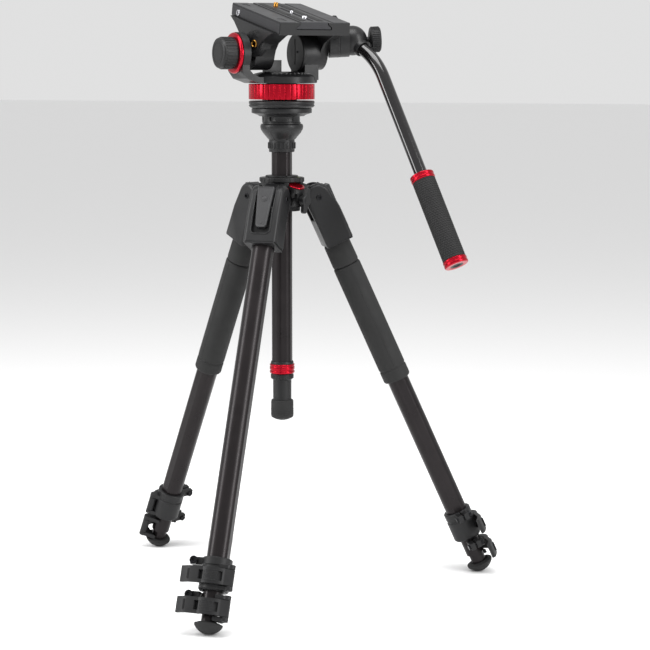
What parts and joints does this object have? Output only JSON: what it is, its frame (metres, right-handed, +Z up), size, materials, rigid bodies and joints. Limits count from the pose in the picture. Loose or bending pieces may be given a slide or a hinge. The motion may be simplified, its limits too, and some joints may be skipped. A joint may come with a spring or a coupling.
{
  "type": "video tripod with fluid head",
  "caption": "Folding video tripod with telescopic legs, sliding centre column, half-ball leveller, fluid pan-and-tilt head, sliding camera plate and cranked pan bar.",
  "frame": {"origin": "middle of the object's box, on the floor", "axes": "+Z up along the centre column, the front leg towards -Y"},
  "size_m": [0.5248, 0.4688, 0.7703],
  "materials": {
    "cast_black": "satin black stove-enamelled casting",
    "moulded_black": "fine-grained moulded black",
    "tube_black": "black anodised tube",
    "rubber": "matt black rubber",
    "selector_grey": "mid-grey moulded",
    "plate_grey": "satin dark grey anodised",
    "red_anodised": "satin red anodised",
    "bright_steel": "bright turned steel",
    "brass": "turned brass",
    "gloss_black": "gloss black paint",
    "vial_green": "green liquid in a clear vial"
  },
  "bodies": {
    "shoulder": {"shoulder_casting": "cast_black", "column_bushing": "moulded_black", "hinge_bolts": "bright_steel", "socket_cover": "red_anodised"},
    "column_lock": {"column_lock_knob": "moulded_black"},
    "level_dial": {"level_ring": "moulded_black", "level_vial": "vial_green"},
    "column": {"column_tube": "tube_black", "ball_cup": "cast_black", "column_end_ring": "red_anodised"},
    "ball_lock": {"levelling_handle": "moulded_black", "handle_cap": "rubber"},
    "ball_pivot": {"ball_washer": "brass"},
    "head_base": {"half_ball": "cast_black", "pan_base": "cast_black"},
    "pan_drag": {"pan_drag_ring": "red_anodised"},
    "pan_lock": {"pan_lock_lever": "moulded_black"},
    "head": {"yoke": "cast_black"},
    "tilt_drag": {"tilt_drag_knob": "moulded_black", "tilt_drag_ring": "red_anodised"},
    "tilt_lock": {"tilt_lock_lever": "moulded_black"},
    "cradle": {"bridge": "cast_black", "tilt_axles": "bright_steel", "rosette_insert": "brass"},
    "camera_plate": {"sliding_plate": "plate_grey", "camera_screw": "brass"},
    "plate_lock": {"plate_knob": "moulded_black"},
    "pan_handle": {"bar_clamp": "moulded_black", "pan_bar": "gloss_black", "bar_grip": "rubber"},
    "handle_lock": {"bar_knob": "moulded_black"},
    "leg_1": {"leg_1_casting": "cast_black", "leg_1_upper_tube": "tube_black", "leg_1_upper_lock": "moulded_black"},
    "leg_1_angle_selector": {"leg_1_selector": "selector_grey"},
    "leg_1_upper_clamp": {"leg_1_upper_lever": "moulded_black"},
    "leg_1_middle": {"leg_1_middle_section": "moulded_black"},
    "leg_1_lower_clamp": {"leg_1_lower_lever": "moulded_black"},
    "leg_1_lower": {"leg_1_lower_tube": "tube_black", "leg_1_foot": "rubber"},
    "leg_2": {"leg_2_casting": "cast_black", "leg_2_upper_tube": "tube_black", "leg_2_upper_lock": "moulded_black", "leg_2_grip": "rubber"},
    "leg_2_angle_selector": {"leg_2_selector": "selector_grey"},
    "leg_2_upper_clamp": {"leg_2_upper_lever": "moulded_black"},
    "leg_2_middle": {"leg_2_middle_section": "moulded_black"},
    "leg_2_lower_clamp": {"leg_2_lower_lever": "moulded_black"},
    "leg_2_lower": {"leg_2_lower_tube": "tube_black", "leg_2_foot": "rubber"},
    "leg_3": {"leg_3_casting": "cast_black", "leg_3_upper_tube": "tube_black", "leg_3_upper_lock": "moulded_black", "leg_3_grip": "rubber"},
    "leg_3_angle_selector": {"leg_3_selector": "selector_grey"},
    "leg_3_upper_clamp": {"leg_3_upper_lever": "moulded_black"},
    "leg_3_middle": {"leg_3_middle_section": "moulded_black"},
    "leg_3_lower_clamp": {"leg_3_lower_lever": "moulded_black"},
    "leg_3_lower": {"leg_3_lower_tube": "tube_black", "leg_3_foot": "rubber"}
  },
  "joints": [
    {"name": "column_lock_turn", "type": "hinge", "parent": "shoulder", "child": "column_lock", "pos_m": [-0.00361, 0.05811, 0.512], "axis": [0.866, -0.5, 0], "range_deg": [-180, 180]},
    {"name": "level_ring_turn", "type": "hinge", "parent": "shoulder", "child": "level_dial", "pos_m": [-0.00361, 0.05811, 0.538], "axis": [0, 0, 1], "continuous": true},
    {"name": "column_slide", "type": "slide", "parent": "shoulder", "child": "column", "axis": [0, 0, 1], "range_m": [-0.03, 0.2]},
    {"name": "levelling_handle_turn", "type": "hinge", "parent": "column", "child": "ball_lock", "pos_m": [-0.00361, 0.05811, 0.25], "axis": [0, 0, 1], "range_deg": [-180, 180]},
    {"name": "level_tilt_side", "type": "hinge", "parent": "column", "child": "ball_pivot", "pos_m": [-0.00361, 0.05811, 0.613], "axis": [1, 0, 0], "range_deg": [-9, 9]},
    {"name": "level_tilt_front", "type": "hinge", "parent": "ball_pivot", "child": "head_base", "pos_m": [-0.00361, 0.05811, 0.613], "axis": [0, 1, 0], "range_deg": [-9, 9]},
    {"name": "pan_drag_turn", "type": "hinge", "parent": "head_base", "child": "pan_drag", "pos_m": [-0.00361, 0.05811, 0.653], "axis": [0, 0, 1], "range_deg": [-150, 150]},
    {"name": "pan_lock_turn", "type": "hinge", "parent": "head_base", "child": "pan_lock", "pos_m": [-0.03609, 0.08926, 0.6365], "axis": [-0.7218, 0.6921, 0], "range_deg": [-70, 70]},
    {"name": "pan", "type": "hinge", "parent": "head_base", "child": "head", "pos_m": [-0.00361, 0.05811, 0.668], "axis": [0, 0, 1], "continuous": true},
    {"name": "tilt_drag_turn", "type": "hinge", "parent": "head", "child": "tilt_drag", "pos_m": [-0.05898, 0.00037, 0.703], "axis": [0.6921, 0.7218, 0], "range_deg": [-150, 150]},
    {"name": "tilt_lock_turn", "type": "hinge", "parent": "head", "child": "tilt_lock", "pos_m": [0.00188, 0.09995, 0.684], "axis": [-0.7218, 0.6921, 0], "range_deg": [-60, 0]},
    {"name": "tilt", "type": "hinge", "parent": "head", "child": "cradle", "pos_m": [-0.00361, 0.05811, 0.703], "axis": [0.6921, 0.7218, 0], "range_deg": [-80, 42]},
    {"name": "plate_slide", "type": "slide", "parent": "cradle", "child": "camera_plate", "axis": [-0.7073, 0.6782, 0.1994], "range_m": [-0.03, 0.03]},
    {"name": "plate_lock_turn", "type": "hinge", "parent": "cradle", "child": "plate_lock", "pos_m": [0.06073, 0.07954, 0.743], "axis": [0.6921, 0.7218, 0], "range_deg": [-180, 180]},
    {"name": "pan_bar_swing", "type": "hinge", "parent": "cradle", "child": "pan_handle", "pos_m": [0.08502, 0.09777, 0.71964], "axis": [0.9032, 0.4261, 0.0517], "range_deg": [-100, 100]},
    {"name": "bar_knob_turn", "type": "hinge", "parent": "pan_handle", "child": "handle_lock", "pos_m": [0.10941, 0.10927, 0.72103], "axis": [0.9032, 0.4261, 0.0517], "range_deg": [-180, 180]},
    {"name": "leg_1_spread", "type": "hinge", "parent": "shoulder", "child": "leg_1", "pos_m": [-0.00361, 0.01261, 0.515], "axis": [-1, 0, 0], "range_deg": [-24.4, 63.5]},
    {"name": "leg_1_selector_slide", "type": "slide", "parent": "leg_1", "child": "leg_1_angle_selector", "axis": [0, -0.4134, -0.9105], "range_m": [0, 0.006], "stiffness_N_per_m": 400, "springref_m": -0.003},
    {"name": "leg_1_upper_lever_turn", "type": "hinge", "parent": "leg_1", "child": "leg_1_upper_clamp", "pos_m": [0.01889, -0.20023, 0.068], "axis": [0, 0.4134, 0.9105], "range_deg": [0, 100]},
    {"name": "leg_1_middle_slide", "type": "slide", "parent": "leg_1", "child": "leg_1_middle", "axis": [0, -0.4134, -0.9105], "range_m": [0, 0.38]},
    {"name": "leg_1_lower_lever_turn", "type": "hinge", "parent": "leg_1_middle", "child": "leg_1_lower_clamp", "pos_m": [0.01889, -0.21573, 0.03386], "axis": [0, 0.4134, 0.9105], "range_deg": [0, 100]},
    {"name": "leg_1_lower_slide", "type": "slide", "parent": "leg_1_middle", "child": "leg_1_lower", "axis": [0, -0.4134, -0.9105], "range_m": [0, 0.38]},
    {"name": "leg_2_spread", "type": "hinge", "parent": "shoulder", "child": "leg_2", "pos_m": [-0.04302, 0.08086, 0.515], "axis": [0.5, 0.866, 0], "range_deg": [-24.4, 63.5]},
    {"name": "leg_2_selector_slide", "type": "slide", "parent": "leg_2", "child": "leg_2_angle_selector", "axis": [-0.358, 0.2067, -0.9105], "range_m": [0, 0.006], "stiffness_N_per_m": 400, "springref_m": -0.003},
    {"name": "leg_2_upper_lever_turn", "type": "hinge", "parent": "leg_2", "child": "leg_2_upper_clamp", "pos_m": [-0.23859, 0.16779, 0.068], "axis": [0.358, -0.2067, 0.9105], "range_deg": [0, 100]},
    {"name": "leg_2_middle_slide", "type": "slide", "parent": "leg_2", "child": "leg_2_middle", "axis": [-0.358, 0.2067, -0.9105], "range_m": [0, 0.38]},
    {"name": "leg_2_lower_lever_turn", "type": "hinge", "parent": "leg_2_middle", "child": "leg_2_lower_clamp", "pos_m": [-0.25202, 0.17555, 0.03386], "axis": [0.358, -0.2067, 0.9105], "range_deg": [0, 100]},
    {"name": "leg_2_lower_slide", "type": "slide", "parent": "leg_2_middle", "child": "leg_2_lower", "axis": [-0.358, 0.2067, -0.9105], "range_m": [0, 0.38]},
    {"name": "leg_3_spread", "type": "hinge", "parent": "shoulder", "child": "leg_3", "pos_m": [0.03579, 0.08086, 0.515], "axis": [0.5, -0.866, 0], "range_deg": [-24.4, 63.5]},
    {"name": "leg_3_selector_slide", "type": "slide", "parent": "leg_3", "child": "leg_3_angle_selector", "axis": [0.358, 0.2067, -0.9105], "range_m": [0, 0.006], "stiffness_N_per_m": 400, "springref_m": -0.003},
    {"name": "leg_3_upper_lever_turn", "type": "hinge", "parent": "leg_3", "child": "leg_3_upper_clamp", "pos_m": [0.20886, 0.20676, 0.068], "axis": [-0.358, -0.2067, 0.9105], "range_deg": [0, 100]},
    {"name": "leg_3_middle_slide", "type": "slide", "parent": "leg_3", "child": "leg_3_middle", "axis": [0.358, 0.2067, -0.9105], "range_m": [0, 0.38]},
    {"name": "leg_3_lower_lever_turn", "type": "hinge", "parent": "leg_3_middle", "child": "leg_3_lower_clamp", "pos_m": [0.22229, 0.21452, 0.03386], "axis": [-0.358, -0.2067, 0.9105], "range_deg": [0, 100]},
    {"name": "leg_3_lower_slide", "type": "slide", "parent": "leg_3_middle", "child": "leg_3_lower", "axis": [0.358, 0.2067, -0.9105], "range_m": [0, 0.38]}
  ]
}
